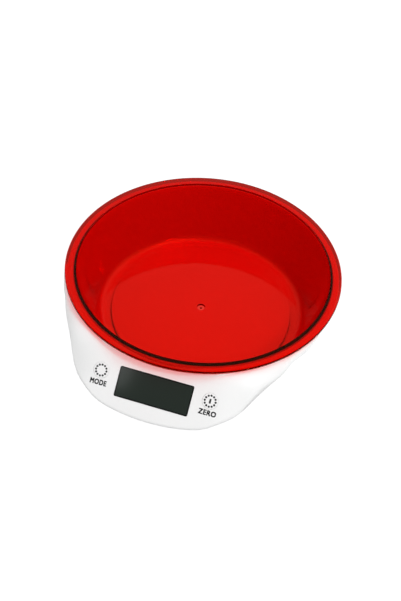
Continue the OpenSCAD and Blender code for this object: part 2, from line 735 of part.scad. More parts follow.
// Round drop of epoxy over the chip, on the back of the board
chip_at = [-12, -4];
drop_r = 5.5;
drop_h = 1.4;
capacitor_at = [-24, -2];
capacitor_r = 2;
capacitor_h = 3.2;
socket_at = [3, -9.5];
socket_size = [5, 7, 2.4];
module board_chip() {
    color("black") at_axis() on_panel() translate([0, 0, board_z - board_t]) {
        translate([chip_at[0], chip_at[1], 0]) rotate([180, 0, 0]) rotate_extrude()
            polygon([[0, 0], [drop_r, 0], [0.87 * drop_r, drop_h / 2], [0.55 * drop_r, 0.86 * drop_h], [0, drop_h]]);
        translate([capacitor_at[0], capacitor_at[1], -capacitor_h]) cylinder(r = capacitor_r, h = capacitor_h);
        translate([socket_at[0], socket_at[1], -socket_size[2]]) cube(socket_size);
    }
}

module board_screws() {
    color("gray") at_axis() on_panel() for (p = board_screw_at) translate([p[0], p[1], board_z - board_t]) {
        translate([0, 0, -1.2]) cylinder(r = 1.8, h = 1.2);
        cylinder(r = board_screw_r, h = board_t + 5);
    }
}

// Tact switches: square bodies on the board, with a round plunger in each
switch_s = 6;
switch_h = 3.4;
plunger_r = 1.7;
plunger_up = 0.8;
plunger_in = 1;
plunger_fit = 0.05;
switch_top = board_z + switch_h;
module at_button(side) {
    at_axis() on_panel() translate([side * button_x, button_up, 0]) children();
}

module switch_bodies() {
    color("dimgray") for (side = [-1, 1]) at_button(side) difference() {
        translate([-switch_s / 2, -switch_s / 2, board_z]) cube([switch_s, switch_s, switch_h]);
        translate([0, 0, switch_top - plunger_in - button_travel - 0.2])
            cylinder(r = plunger_r + plunger_fit, h = 5);
    }
}

module plunger() {
    translate([0, 0, switch_top - plunger_in]) cylinder(r = plunger_r, h = plunger_in + plunger_up);
}

// Button: a cap flush with the panel, a flange that keeps it in, and a stem on the plunger
module button() {
    stem_z = switch_top + plunger_up;
    flange_z = -wall - 0.4 - button_flange;
    rotate_extrude() polygon([
        [0, stem_z],
        [2.2, stem_z],
        [2.2, flange_z],
        [button_r + 1, flange_z],
        [button_r + 1, flange_z + button_flange],
        [button_r, flange_z + button_flange],
        [button_r, -0.2],
        [button_r - 0.2, 0],
        [0, 0]
    ]);
}

module unit_button() {
    color("white") at_button(-1) button();
}

module unit_plunger() {
    color("black") at_button(-1) plunger();
}

module tare_button() {
    color("white") at_button(1) button();
}

module tare_plunger() {
    color("black") at_button(1) plunger();
}

// Door of the battery bay: a plate with a round hinge edge, two pins and a latch tab
module battery_door() {
    color("white") at_axis() {
        difference() {
            union() {
                translate([-door_w / 2, hinge_y, foot_h]) cube([door_w, door_d - knuckle_r, door_t]);
                translate([-latch_w / 2, bay_y + door_d / 2 - bite, foot_h]) cube([latch_w, latch_d + bite, door_t]);
            }
            for (i = [0:3]) translate([-9, bay_y + 5 + 2 * i, foot_h - 0.5]) cube([18, 0.8, 0.9]);
        }
        translate([0, hinge_y, hinge_z]) rotate([0, 90, 0]) {
            cylinder(r = knuckle_r, h = door_w, center = true);
            cylinder(r = pin_r, h = door_w + 2 * pin_l, center = true);
        }
    }
}

module batteries() {
    color("darkgreen") at_axis() for (s = [-1, 1]) translate([0, bay_y + s * battery_pitch / 2, battery_z])
        rotate([0, s * 90, 0]) {
            translate([0, 0, battery_shift - battery_l / 2]) rotate_extrude() polygon([
                [0, 0],
                [battery_r - 0.4, 0],
                [battery_r, 0.4],
                [battery_r, battery_l - 0.4],
                [battery_r - 0.4, battery_l],
                [1.9, battery_l],
                [1.9, battery_l + nub_l],
                [0, battery_l + nub_l]
            ]);
        }
}

battery_tail = battery_l / 2 - battery_shift;
battery_tip = battery_l / 2 + battery_shift + nub_l;
contact_t = 0.4;
module battery_contacts() {
    color("silver") at_axis() {
        for (s = [-1, 1]) translate([s * (bay_in_x - contact_t / 2) - contact_t / 2, bay_y, 0]) {
            if (s < 0) translate([0, -bay_in_y + 0.4, floor_z + 1]) cube([contact_t, 2 * bay_in_y - 0.8, 9]);
            if (s > 0) for (k = [-1, 1]) translate([0, k * battery_pitch / 2 - 4.6, floor_z + 1])
                cube([contact_t, 9.2, 9]);
        }
        for (s = [-1, 1]) translate([s * battery_tip, bay_y + s * battery_pitch / 2, battery_z])
            rotate([0, s * 90, 0]) cylinder(r1 = 1.6, r2 = 2.4, h = bay_in_x - contact_t - battery_tip + 0.1);
    }
}

// Round tube along a list of points; side is a direction that the points never run along
module tube(points, r, sides, side) {
    last = len(points) - 1;
    function dir(i) = unit(points[min(i + 1, last)] - points[max(i - 1, 0)]);
    rings = [for (i = [0:last]) let (t = dir(i), n = unit(cross(t, side)), b = cross(t, n))
        [for (k = [0:sides - 1]) let (a = 360 * k / sides) points[i] + r * (n * cos(a) + b * sin(a))]];
    polyhedron(
        [for (ring = rings) each ring],
        [
            [for (k = [0:sides - 1]) k],
            [for (k = [sides - 1:-1:0]) last * sides + k],
            for (i = [0:last - 1]) for (k = [0:sides - 1]) let (n = (k + 1) % sides) each [
                [i * sides + k, (i + 1) * sides + k, i * sides + n],
                [i * sides + n, (i + 1) * sides + k, (i + 1) * sides + n]
            ]
        ]
    );
}

// Coil of round wire that widens towards its seat
function coil(r0, r1, length, turns) = [for (i = [0:turns * 14]) let (t = i / turns / 14)
    [(r0 + (r1 - r0) * t) * cos(360 * turns * t), (r0 + (r1 - r0) * t) * sin(360 * turns * t), length * t]];

spring_wire_r = 0.3;
module battery_springs() {
    color("silver") at_axis() for (s = [-1, 1])
        translate([-s * (battery_tail + spring_wire_r), bay_y + s * battery_pitch / 2, battery_z])
            rotate([0, -s * 90, 0])
                tube(coil(spring_r0, spring_r1, bay_in_x - contact_t - battery_tail - 2 * spring_wire_r, 3),
                    spring_wire_r, 6, [0, 0, 1]);
}

module rubber_feet() {
    color("dimgray") at_axis() for (p = foot_at) translate([p[0], p[1], 0]) rotate_extrude() polygon([
        [0, 0],
        [foot_r - 0.5, 0],
        [foot_r, 0.5],
        [foot_r, foot_h + foot_sunk],
        [0, foot_h + foot_sunk]
    ]);
}

// Smooth line through a list of points, with n steps between each two
function smooth(p, n) = let (last = len(p) - 1) [
    for (i = [0:last - 1]) for (k = [0:n - 1]) let (
        t = k / n,
        a = p[max(i - 1, 0)],
        b = p[i],
        c = p[i + 1],
        d = p[min(i + 2, last)]
    ) 0.5 * (2 * b + (c - a) * t + (2 * a - 5 * b + 4 * c - d) * t * t + (3 * b - a - 3 * c + d) * t * t * t),
    p[last]
];
function panel_pt(x, up, out) = [
    x,
    -lip_reach + window_up * cos(panel_tilt) + up * cos(panel_tilt) - out * sin(panel_tilt),
    lip_height + window_up * sin(panel_tilt) + up * sin(panel_tilt) + out * cos(panel_tilt)
];
cable_clear = 0.3;
board_back = board_z - board_t - cable_clear;

// Four fine leads in one sleeve, from the load cell's side to the back of the board
module cell_cable() {
    color("red") at_axis() tube(smooth([
        [-12, -cell_s / 2 - cable_clear, cell_z + 4],
        [-12, -cell_s / 2 - 5, cell_z + 3.5],
        [-10, -34, floor_z + 4],
        [-6, -62, floor_z + 4],
        [-3, -80, floor_z + 8],
        panel_pt(-2, -7, board_back - 8),
        panel_pt(-2, -3, board_back - 4),
        panel_pt(-2, -3, board_back)
    ], 4), 1.1, 8, [1, 0, 0]);
}

// Two leads from the battery bay to the back of the board
module battery_cable() {
    for (k = [-1, 1]) color(k < 0 ? "black" : "red") at_axis() tube(smooth([
        [bay_in_x + bay_wall + cable_clear, bay_y - 9 + k, floor_z + 5],
        [bay_in_x + bay_wall + 4, bay_y - 9 + k, floor_z + 5],
        [38 + 1.2 * k, bay_y - 17 + k, floor_z + 4],
        [46 + 1.2 * k, 4, floor_z + 3],
        [40 + 1.2 * k, -16, floor_z + 3],
        [24 + 1.2 * k, -32, floor_z + 3],
        [18 + 1.2 * k, -50, floor_z + 3],
        [16 + 1.2 * k, -64, floor_z + 4],
        [15 + 1.2 * k, -80, floor_z + 8],
        panel_pt(15 + 1.2 * k, -9, board_back - 8),
        panel_pt(15 + 1.2 * k, -5.5, board_back - 4),
        panel_pt(15 + 1.2 * k, -5.5, board_back)
    ], 4), 0.7, 6, [0.3, 0, 1]);
}

bowl();
platform_cover();
load_spider();
spider_screws();
load_cell();
gauge_coating();
cell_bolts();
upper_housing();
lower_housing();
housing_screws();
display_window();
lcd_glass();
lcd_frame();
zebra_strips();
main_board();
board_chip();
board_screws();
switch_bodies();
unit_button();
unit_plunger();
tare_button();
tare_plunger();
battery_door();
batteries();
battery_contacts();
battery_springs();
rubber_feet();
cell_cable();
battery_cable();
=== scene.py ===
# %% [markdown]
# A kitchen scale with a red mixing bowl nested in its white housing. The imported model is
# the frame: it fixes every size, and this lesson dresses it. We load it first, and only then
# make finishes and the few pieces that deserve a finer surface.

# %% Load the frame
import math

import bmesh
import bpy
from mathutils import Matrix, Vector


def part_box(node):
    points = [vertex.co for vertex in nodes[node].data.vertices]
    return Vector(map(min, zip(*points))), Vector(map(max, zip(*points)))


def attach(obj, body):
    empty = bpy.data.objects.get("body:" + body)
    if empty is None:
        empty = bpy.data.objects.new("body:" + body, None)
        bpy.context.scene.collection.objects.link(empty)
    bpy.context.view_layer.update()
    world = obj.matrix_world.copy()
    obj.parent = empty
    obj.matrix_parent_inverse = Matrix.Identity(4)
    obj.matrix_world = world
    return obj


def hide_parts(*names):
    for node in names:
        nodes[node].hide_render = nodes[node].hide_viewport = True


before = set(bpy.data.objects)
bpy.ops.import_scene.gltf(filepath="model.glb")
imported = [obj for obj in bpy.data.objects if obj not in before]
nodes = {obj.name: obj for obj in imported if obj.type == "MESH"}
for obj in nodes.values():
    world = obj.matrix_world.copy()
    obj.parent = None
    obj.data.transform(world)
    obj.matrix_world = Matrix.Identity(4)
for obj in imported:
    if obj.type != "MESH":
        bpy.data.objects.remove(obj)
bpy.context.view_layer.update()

scene = bpy.context.scene
MM = 0.001

# %% [markdown]
# Everything round belongs to the bowl's upright axis. The axis isn't the origin, because
# the nose of the housing reaches forward, so we read it from the bowl's own box.

# %% Places read from the frame
bowl_low, bowl_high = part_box("bowl")
axis = Vector(((bowl_low.x + bowl_high.x) / 2, (bowl_low.y + bowl_high.y) / 2, 0))
rim_r = (bowl_high.x - bowl_low.x) / 2
rim_z = bowl_high.z
under_z = bowl_low.z
print("bowl axis y:", round(axis.y, 5))
print("rim radius:", round(rim_r, 4), "rim height:", round(rim_z, 4))

# %% [markdown]
# The panel slopes at 45 degrees. One matrix takes us there: its X runs along the lip, its Y
# up the slope and its Z straight out of the panel. The window's box gives the place, because
# the middle of a tilted box is the middle of the pane.

# %% The panel's own axes
PANEL_TILT = math.radians(45)
PANE_T = 1.2 * MM
pane_low, pane_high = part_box("display_window")
panel_out = Vector((0, -math.sin(PANEL_TILT), math.cos(PANEL_TILT)))
panel_origin = (pane_low + pane_high) / 2 + panel_out * PANE_T / 2
panel = Matrix.Translation(panel_origin) @ Matrix.Rotation(PANEL_TILT, 4, "X")
print("panel origin", [round(c, 4) for c in panel_origin])

# %% [markdown]
# The camera stands as in the photograph: 46 degrees up, 15 degrees round to the right, with
# a slight roll. Its distance and lens were worked out from the rim's ellipse and the four
# corners of the display, and are measured from the middle of the rim.

# %% Camera
VIEW_TURN = math.radians(15.22)
VIEW_HEIGHT = math.radians(46.24)
VIEW_ROLL = math.radians(3.89)
VIEW_DISTANCE = 693.6 * MM
VIEW_ASIDE = 0.69 * MM
VIEW_ABOVE = 24.4 * MM
LENS = 59.9
SENSOR = 36


def photo_camera():
    back = Vector((
        math.sin(VIEW_TURN) * math.cos(VIEW_HEIGHT),
        -math.cos(VIEW_TURN) * math.cos(VIEW_HEIGHT),
        math.sin(VIEW_HEIGHT),
    ))
    right = Vector((math.cos(VIEW_TURN), math.sin(VIEW_TURN), 0))
    up = back.cross(right)
    target = Vector((axis.x, axis.y, rim_z))
    eye = target + back * VIEW_DISTANCE - right * VIEW_ASIDE - up * VIEW_ABOVE
    rolled_right = right * math.cos(VIEW_ROLL) + up * math.sin(VIEW_ROLL)
    rolled_up = up * math.cos(VIEW_ROLL) - right * math.sin(VIEW_ROLL)
    turn = Matrix((rolled_right, rolled_up, back)).transposed()
    data = bpy.data.cameras.new("photo_camera")
    data.sensor_fit = "VERTICAL"
    data.sensor_height = SENSOR
    data.lens = LENS
    camera = bpy.data.objects.new("photo_camera", data)
    camera.matrix_world = Matrix.Translation(eye) @ turn.to_4x4()
    scene.collection.objects.link(camera)
    scene.camera = camera
    return eye


photo_eye = photo_camera()
print("camera at", [round(c, 3) for c in photo_eye])

# %% [markdown]
# World, floor and materials are all built from the same few nodes, so small helpers make
# them. A value is either a number, which is set on the socket, or another node's output,
# which is linked to it.

# %% Node helpers


def feed(tree, socket, value):
    if isinstance(value, (int, float)):
        socket.default_value = value
    else:
        tree.links.new(value, socket)


def ramp(tree, value, start, end, low, high):
    """A number that runs from low to high while the value runs from start to end."""
    ranged = tree.nodes.new("ShaderNodeMapRange")
    ranged.inputs["From Min"].default_value = start
    ranged.inputs["From Max"].default_value = end
    ranged.inputs["To Min"].default_value = low
    ranged.inputs["To Max"].default_value = high
    tree.links.new(value, ranged.inputs["Value"])
    return ranged.outputs["Result"]


def math_node(tree, operation, *values):
    node = tree.nodes.new("ShaderNodeMath")
    node.operation = operation
    for socket, value in zip(node.inputs, values):
        feed(tree, socket, value)
    return node.outputs[0]


def choose_value(tree, factor, first, second):
    """The first value where the factor is 0, the second where it is 1."""
    mix = tree.nodes.new("ShaderNodeMix")
    feed(tree, mix.inputs["A"], first)
    feed(tree, mix.inputs["B"], second)
    feed(tree, mix.inputs["Factor"], factor)
    return mix.outputs["Result"]


def choose_shader(tree, factor, first, second):
    mix = tree.nodes.new("ShaderNodeMixShader")
    tree.links.new(factor, mix.inputs["Fac"])
    tree.links.new(first, mix.inputs[1])
    tree.links.new(second, mix.inputs[2])
    return mix.outputs[0]


def split_axes(tree, vector):
    split = tree.nodes.new("ShaderNodeSeparateXYZ")
    tree.links.new(vector, split.inputs["Vector"])
    return split.outputs


def before_matt(tree, path):
    """1 for a ray that has met no matt surface yet, else 0."""
    return math_node(tree, "LESS_THAN", path.outputs["Diffuse Depth"], 1)


print("node helpers ready")

# %% [markdown]
# The photograph is a cut-out on white. Its shadows say how it was lit: mostly from a wide
# soft ceiling, with one small lamp high on the right. The edge of the shadow inside the bowl
# gives that lamp's direction. The world plays the ceiling. Light Path picks its strength for
# each kind of ray: plain white for the camera, a paler grey for what shows through the clear
# bowl, and for lighting a strength that grows with height. Straight below it is pale again,
# so that the underside can be seen. Gloss gets a dim sky of its own, or the red floor of the
# bowl would wash out. A height is the upward part of a ray's direction, from -1 for straight
# down to 1 for straight up, and front and behind are read from its Y in the same way.

# %% World
LIGHT_LOW = 0.5
LIGHT_HIGH = 0.96
LOW_BELOW = 0.35
HIGH_ABOVE = 0.95
LIGHT_UNDER = 0.7
UNDER_FULL = -0.2
UNDER_ENDS = -0.05
THROUGH_BOWL = 0.33
GLOSS_LOW = 0.04
GLOSS_LOW_BELOW = 0.3
GLOSS_HIGH_ABOVE = 0.6
GLOSS_FRONT = 0.13
GLOSS_BEHIND = 0.5
FRONT_ENDS = -0.1
BEHIND_STARTS = 0.3


def paint_world():
    world = bpy.data.worlds.new("studio_world")
    world.use_nodes = True
    tree = world.node_tree
    background = tree.nodes["Background"]
    background.inputs["Color"].default_value = (1, 1, 1, 1)
    path = tree.nodes.new("ShaderNodeLightPath")
    coords = tree.nodes.new("ShaderNodeTexCoord")
    sky = split_axes(tree, coords.outputs["Generated"])
    above = ramp(tree, sky["Z"], LOW_BELOW, HIGH_ABOVE, LIGHT_LOW, LIGHT_HIGH)
    below = ramp(tree, sky["Z"], UNDER_FULL, UNDER_ENDS, LIGHT_UNDER, 0)
    lighting = math_node(tree, "MAXIMUM", above, below)
    high = ramp(tree, sky["Z"], GLOSS_LOW_BELOW, GLOSS_HIGH_ABOVE, 0, 1)
    high_gloss = ramp(tree, sky["Y"], FRONT_ENDS, BEHIND_STARTS, GLOSS_FRONT, GLOSS_BEHIND)
    gloss = choose_value(tree, high, GLOSS_LOW, high_gloss)
    direct = before_matt(tree, path)
    shiny = math_node(tree, "MULTIPLY", path.outputs["Is Glossy Ray"], direct)
    through = math_node(tree, "MULTIPLY", path.outputs["Is Transmission Ray"], direct)
    strength = choose_value(tree, shiny, lighting, gloss)
    strength = choose_value(tree, through, strength, THROUGH_BOWL)
    strength = choose_value(tree, path.outputs["Is Camera Ray"], strength, 1)
    tree.links.new(strength, background.inputs["Strength"])
    scene.world = world
    return world.name


print("world:", paint_world())

# %% [markdown]
# A lamp is placed by its compass direction from the front, its height in degrees and its
# distance. The key lamp draws the edge of the shadow in the bowl. The wide fill opens the
# shadow side, and gloss does not see it. The last one is a small white card: the pane
# mirrors it in its upper left corner.

# %% Lamps
LAMP_AIM = Vector((0, 0.01, 0.03))
LAMP_DISTANCE = 1.3
KEY_TURN = 58.6
KEY_HEIGHT = 49.8
KEY_SIZE = 0.15
KEY_WATTS = 3.5
FILL_TURN = 84
FILL_HEIGHT = 72
FILL_SIZE = 0.6
FILL_WATTS = 3.9
CARD_X = -35 * MM
CARD_Y = 18 * MM
CARD_DISTANCE = 0.35
CARD_SIZE = 0.06
CARD_WATTS = 0.014


def soft_lamp(name, place, aim, size, watts, in_gloss=True):
    data = bpy.data.lights.new(name, "AREA")
    data.size = size
    data.energy = watts
    lamp = bpy.data.objects.new(name, data)
    turn = (aim - place).to_track_quat("-Z", "Y").to_matrix().to_4x4()
    lamp.matrix_world = Matrix.Translation(place) @ turn
    lamp.visible_glossy = in_gloss
    scene.collection.objects.link(lamp)
    return name


def lamp_place(turn, height):
    turn = math.radians(turn)
    height = math.radians(height)
    out = Vector((
        math.sin(turn) * math.cos(height),
        -math.cos(turn) * math.cos(height),
        math.sin(height),
    ))
    return LAMP_AIM + out * LAMP_DISTANCE


def mirrored_place(x, y, distance):
    """The pane's point (x, y), and the place that it mirrors to the camera."""
    point = panel @ Vector((x, y, 0))
    look = (point - photo_eye).normalized()
    return point, point + look.reflect(panel_out) * distance


key_place = lamp_place(KEY_TURN, KEY_HEIGHT)
fill_place = lamp_place(FILL_TURN, FILL_HEIGHT)
card_aim, card_place = mirrored_place(CARD_X, CARD_Y, CARD_DISTANCE)
print("lamps:", [
    soft_lamp("key", key_place, LAMP_AIM, KEY_SIZE, KEY_WATTS),
    soft_lamp("right_fill", fill_place, LAMP_AIM, FILL_SIZE, FILL_WATTS, in_gloss=False),
    soft_lamp("card", card_place, card_aim, CARD_SIZE, CARD_WATTS),
])

# %% [markdown]
# The floor is a plain pale sheet. To the camera it is mostly its own white, with enough of
# the lit surface left in it to keep the soft shadow under the scale. Through the bowl it
# shows as the same pale grey as the world. The sheet has only a top: from underneath it is
# clear, and so it is for the last few millimetres of lighting under the base, which keeps
# the underside and the battery bay from going black.

# %% Floor
FLOOR_HALF = 4.0
FLOOR_GREY = (0.8, 0.8, 0.8, 1)
FLOOR_ROUGH = 0.7
FLOOR_WHITE = 1.2
FLOOR_OWN = 0.8
GAP_UNDER = 10 * MM


def make_pale_floor():
    material = bpy.data.materials.new("pale_floor")
    material.use_nodes = True
    tree = material.node_tree
    lit = tree.nodes["Principled BSDF"]
    lit.inputs["Base Color"].default_value = FLOOR_GREY
    lit.inputs["Roughness"].default_value = FLOOR_ROUGH
    path = tree.nodes.new("ShaderNodeLightPath")
    own = tree.nodes.new("ShaderNodeEmission")
    white = choose_value(tree, path.outputs["Is Camera Ray"], THROUGH_BOWL, FLOOR_WHITE)
    tree.links.new(white, own.inputs["Strength"])
    direct = before_matt(tree, path)
    through = math_node(tree, "MULTIPLY", path.outputs["Is Transmission Ray"], direct)
    seen = math_node(tree, "MAXIMUM", path.outputs["Is Camera Ray"], through)
    share = math_node(tree, "MULTIPLY", seen, FLOOR_OWN)
    sheet = choose_shader(tree, share, lit.outputs[0], own.outputs[0])
    side = tree.nodes.new("ShaderNodeNewGeometry")
    near = math_node(tree, "LESS_THAN", path.outputs["Ray Length"], GAP_UNDER)
    under = math_node(tree, "MULTIPLY", near, path.outputs["Is Diffuse Ray"])
    clear = math_node(tree, "MAXIMUM", side.outputs["Backfacing"], under)
    away = tree.nodes.new("ShaderNodeBsdfTransparent")
    surface = choose_shader(tree, clear, sheet, away.outputs[0])
    tree.links.new(surface, tree.nodes["Material Output"].inputs["Surface"])
    return material


def lay_floor():
    sheet = bmesh.new()
    bmesh.ops.create_grid(sheet, x_segments=1, y_segments=1, size=FLOOR_HALF)
    mesh = bpy.data.meshes.new("floor")
    sheet.to_mesh(mesh)
    sheet.free()
    mesh.materials.append(make_pale_floor())
    floor = bpy.data.objects.new("floor", mesh)
    scene.collection.objects.link(floor)
    return floor


print("floor:", lay_floor().name)

# %% [markdown]
# Several finishes share the same small effects, so each effect is a shader group with named
# sockets. The first one is the skin of a moulding: a faint orange peel from the steel mould
# and slow, weak swings of tone. A group puts out masks and heights only. The shader itself
# stays in each material.

# %% Shader group: moulded skin


def add_group(name, inputs, outputs):
    group = bpy.data.node_groups.new(name, "ShaderNodeTree")
    for label, kind, value in inputs:
        socket = group.interface.new_socket(label, in_out="INPUT", socket_type=kind)
        if value is not None:
            socket.default_value = value
    for label, kind in outputs:
        group.interface.new_socket(label, in_out="OUTPUT", socket_type=kind)
    entry = group.nodes.new("NodeGroupInput")
    leave = group.nodes.new("NodeGroupOutput")
    return group, entry, leave


def make_moulded_skin():
    group, entry, leave = add_group(
        "moulded_skin",
        [("Vector", "NodeSocketVector", None), ("Peel Scale", "NodeSocketFloat", 900),
         ("Tone Scale", "NodeSocketFloat", 14)],
        [("Peel", "NodeSocketFloat"), ("Tone", "NodeSocketFloat")],
    )
    peel = group.nodes.new("ShaderNodeTexNoise")
    peel.inputs["Detail"].default_value = 3
    peel.inputs["Roughness"].default_value = 0.55
    tone = group.nodes.new("ShaderNodeTexNoise")
    tone.inputs["Detail"].default_value = 2
    link = group.links.new
    link(entry.outputs["Vector"], peel.inputs["Vector"])
    link(entry.outputs["Peel Scale"], peel.inputs["Scale"])
    link(entry.outputs["Vector"], tone.inputs["Vector"])
    link(entry.outputs["Tone Scale"], tone.inputs["Scale"])
    link(peel.outputs[0], leave.inputs["Peel"])
    link(tone.outputs[0], leave.inputs["Tone"])
    return group


moulded_skin = make_moulded_skin()
print("group:", moulded_skin.name)

# %% [markdown]
# Metal parts are drawn, rolled or turned, and each leaves fine lines one way. Noise that is
# stretched along one axis gives both the lines and the way they break the shine.

# %% Shader group: drawn metal


def make_drawn_metal():
    group, entry, leave = add_group(
        "drawn_metal",
        [("Vector", "NodeSocketVector", None), ("Line Scale", "NodeSocketFloat", 2200),
         ("Stretch", "NodeSocketVector", (0.03, 1, 1))],
        [("Lines", "NodeSocketFloat"), ("Stain", "NodeSocketFloat")],
    )
    squeeze = group.nodes.new("ShaderNodeVectorMath")
    squeeze.operation = "MULTIPLY"
    lines = group.nodes.new("ShaderNodeTexNoise")
    lines.inputs["Detail"].default_value = 4
    stain = group.nodes.new("ShaderNodeTexNoise")
    stain.inputs["Scale"].default_value = 60
    stain.inputs["Detail"].default_value = 4
    link = group.links.new
    link(entry.outputs["Vector"], squeeze.inputs[0])
    link(entry.outputs["Stretch"], squeeze.inputs[1])
    link(squeeze.outputs[0], lines.inputs["Vector"])
    link(entry.outputs["Line Scale"], lines.inputs["Scale"])
    link(entry.outputs["Vector"], stain.inputs["Vector"])
    link(lines.outputs[0], leave.inputs["Lines"])
    link(stain.outputs[0], leave.inputs["Stain"])
    return group


drawn_metal = make_drawn_metal()
print("group:", drawn_metal.name)

# %% [markdown]
# A material starts from the same three things each time: object coordinates, one effect
# group, and the Principled shader. The helpers below hold just that. Numbers that are even
# over the surface are set on the shader's own sockets.

# %% Material helpers
NOISE_LOW = 0.25
NOISE_HIGH = 0.75


def start_material(name, colour, **values):
    material = bpy.data.materials.new(name)
    material.use_nodes = True
    shader = material.node_tree.nodes["Principled BSDF"]
    shader.inputs["Base Color"].default_value = (*colour, 1)
    for label, value in values.items():
        shader.inputs[label.replace("_", " ")].default_value = value
    material.diffuse_color = (*colour, 1)
    return material, shader


def object_coords(tree):
    return tree.nodes.new("ShaderNodeTexCoord").outputs["Object"]


def place_group(material, group, **values):
    tree = material.node_tree
    effect = tree.nodes.new("ShaderNodeGroup")
    effect.node_tree = group
    tree.links.new(object_coords(tree), effect.inputs["Vector"])
    for label, value in values.items():
        effect.inputs[label.replace("_", " ")].default_value = value
    return effect


def bump_from(material, shader, height, depth, strength=1.0):
    tree = material.node_tree
    bump = tree.nodes.new("ShaderNodeBump")
    bump.inputs["Distance"].default_value = depth
    bump.inputs["Strength"].default_value = strength
    tree.links.new(height, bump.inputs["Height"])
    tree.links.new(bump.outputs["Normal"], shader.inputs["Normal"])


def spread(material, noise, low, high, target):
    tree = material.node_tree
    tree.links.new(ramp(tree, noise, NOISE_LOW, NOISE_HIGH, low, high), target)


def tint(material, value, first, second, target):
    tree = material.node_tree
    mix = tree.nodes.new("ShaderNodeMix")
    mix.data_type = "RGBA"
    mix.inputs["A"].default_value = (*first, 1)
    mix.inputs["B"].default_value = (*second, 1)
    tree.links.new(value, mix.inputs["Factor"])
    tree.links.new(mix.outputs["Result"], target)


print("material helpers ready")

# %% [markdown]
# Moulded plastic is the finish of the housings, buttons, feet, frame and switches. One
# function makes them all: a base colour that swings a little, a roughness that swings with
# it, and the orange peel as a very shallow bump. The wall of the housing's well is painted a
# shade greyer than the outside: this is painted shade for the deep recess under the bowl.

# %% Moulded plastics
HOUSING_WHITE = (0.88, 0.882, 0.88)
ROUGH_SWING = 0.03
WELL_R = rim_r - 5 * MM
LEDGE_R = rim_r - 21 * MM
WELL_SOFT = 2 * MM
PAINTED_WELL_SHADE = 0.8
LEVEL = (1, 1, 0)


def moulded(name, colour, roughness, peel_depth, swing=0.02, peel_scale=900):
    material, shader = start_material(name, colour)
    effect = place_group(material, moulded_skin, Peel_Scale=peel_scale)
    deep = tuple(c * (1 - swing) for c in colour)
    tone = effect.outputs["Tone"]
    tint(material, tone, deep, colour, shader.inputs["Base Color"])
    smooth, rough = roughness - ROUGH_SWING, roughness + ROUGH_SWING
    spread(material, tone, smooth, rough, shader.inputs["Roughness"])
    bump_from(material, shader, effect.outputs["Peel"], peel_depth)
    return material


def paint_well_shade(material):
    """Paint shade on the ring between the ledge and the collar, by its distance from the axis.
    """
    tree = material.node_tree
    base = tree.nodes["Principled BSDF"].inputs["Base Color"]
    coloured = base.links[0].from_socket
    level = tree.nodes.new("ShaderNodeVectorMath")
    level.operation = "MULTIPLY"
    level.inputs[1].default_value = LEVEL
    tree.links.new(object_coords(tree), level.inputs[0])
    away = tree.nodes.new("ShaderNodeVectorMath")
    away.operation = "DISTANCE"
    away.inputs[1].default_value = axis
    tree.links.new(level.outputs["Vector"], away.inputs[0])
    radius = away.outputs["Value"]
    # painted shade: the well's wall between ledge and collar is darkened in its base colour
    outer = ramp(tree, radius, WELL_R - WELL_SOFT, WELL_R, PAINTED_WELL_SHADE, 1)
    inner = ramp(tree, radius, LEDGE_R - WELL_SOFT, LEDGE_R, 1, PAINTED_WELL_SHADE)
    darker = tree.nodes.new("ShaderNodeVectorMath")
    darker.operation = "SCALE"
    tree.links.new(coloured, darker.inputs[0])
    tree.links.new(math_node(tree, "MAXIMUM", outer, inner), darker.inputs["Scale"])
    tree.links.new(darker.outputs["Vector"], base)


white_housing = moulded("white_housing", HOUSING_WHITE, 0.34, 0.004 * MM)
# painted shade in the housing's well, where the bowl keeps the light out
paint_well_shade(white_housing)
white_cap = moulded("white_cap", HOUSING_WHITE, 0.33, 0.003 * MM)
white_platform = moulded("white_platform", (0.88, 0.88, 0.875), 0.42, 0.01 * MM)
grey_rubber = moulded("grey_rubber", (0.16, 0.16, 0.165), 0.75, 0.04 * MM, 0.15, 1400)
strip_rubber = moulded("strip_rubber", (0.35, 0.35, 0.36), 0.7, 0.02 * MM, 0.1, 2400)
black_plastic = moulded("black_plastic", (0.02, 0.02, 0.021), 0.4, 0.01 * MM, 0.1)
milk_plastic = moulded("milk_plastic", (0.72, 0.73, 0.72), 0.45, 0.01 * MM)
sleeve_grey = moulded("sleeve_grey", (0.05, 0.05, 0.055), 0.5, 0.02 * MM, 0.2, 3000)
ink_black = moulded("ink_black", (0.012, 0.012, 0.013), 0.45, 0.002 * MM, 0.1, 4000)
print("plastics:", white_housing.name, white_cap.name, grey_rubber.name, ink_black.name)

# %% [markdown]
# The bowl is clear red plastic. Real tinted plastic is colourless at its skin and takes its
# red from the depth that light travels, so the shader is clear and a volume absorbs nearly
# all green and blue and a little red. Where the wall is seen on edge the path is long and
# the red goes almost black. Most of what shines on the bowl is its own red light, mirrored
# from wall to wall, and a red Specular Tint stands for that. Light on its way to the white
# parts behind the bowl passes straight through, and keeps only the tint: that leaves the
# bowl's own look to the rays that the camera sends, and the surfaces under it without
# speckles.

# %% Clear red plastic
RED_DENSITY = 1600
RED_DEPTH = (0.972, 0.1, 0.0, 1)
RED_SHINE = (1, 0.12, 0.0, 1)
RED_IN_VIEWPORT = (0.7, 0.03, 0.01, 1)
RIPPLE_SCALE = 45
RIPPLE_DEPTH = 0.04 * MM
RIPPLE_STRENGTH = 0.3


